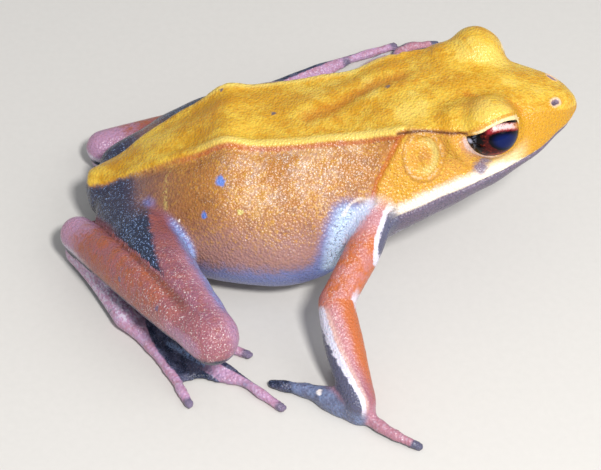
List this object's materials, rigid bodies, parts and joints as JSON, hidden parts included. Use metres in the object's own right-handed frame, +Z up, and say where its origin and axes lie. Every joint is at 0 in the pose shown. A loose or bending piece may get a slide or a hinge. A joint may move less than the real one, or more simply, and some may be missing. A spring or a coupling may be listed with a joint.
{
  "type": "bicolored frog",
  "caption": "Bicolored frog sitting with folded hind legs and spread hands, golden back, russet limbs and dark webbed feet, as a life-size still model.",
  "frame": {"origin": "on the floor, under the middle of the frog's bounding box", "axes": "+X towards the snout, +Y towards the frog's left, +Z up"},
  "size_m": [0.0736, 0.0875, 0.0314],
  "materials": {
    "skin_back": "moist golden-yellow skin, satin",
    "skin_throat": "moist purple-grey skin, satin",
    "skin_arm": "moist orange-red skin, satin",
    "skin_thigh": "moist maroon skin, satin",
    "skin_shank": "moist russet skin, satin",
    "skin_foot": "moist pink skin, satin",
    "eye": "wet and glossy, dark pupil in a dark-red iris"
  },
  "bodies": {
    "root": {"torso": "skin_back", "head": "skin_back", "lower_jaw": "skin_throat", "eye_right": "eye", "eye_left": "eye", "upper_arm_right": "skin_arm", "upper_arm_left": "skin_arm", "forearm_right": "skin_arm", "forearm_left": "skin_arm", "hand_right": "skin_arm", "hand_left": "skin_arm", "thigh_right": "skin_thigh", "thigh_left": "skin_thigh", "shank_right": "skin_shank", "shank_left": "skin_shank", "tarsus_right": "skin_foot", "tarsus_left": "skin_foot", "foot_right": "skin_foot", "foot_left": "skin_foot"}
  },
  "joints": []
}
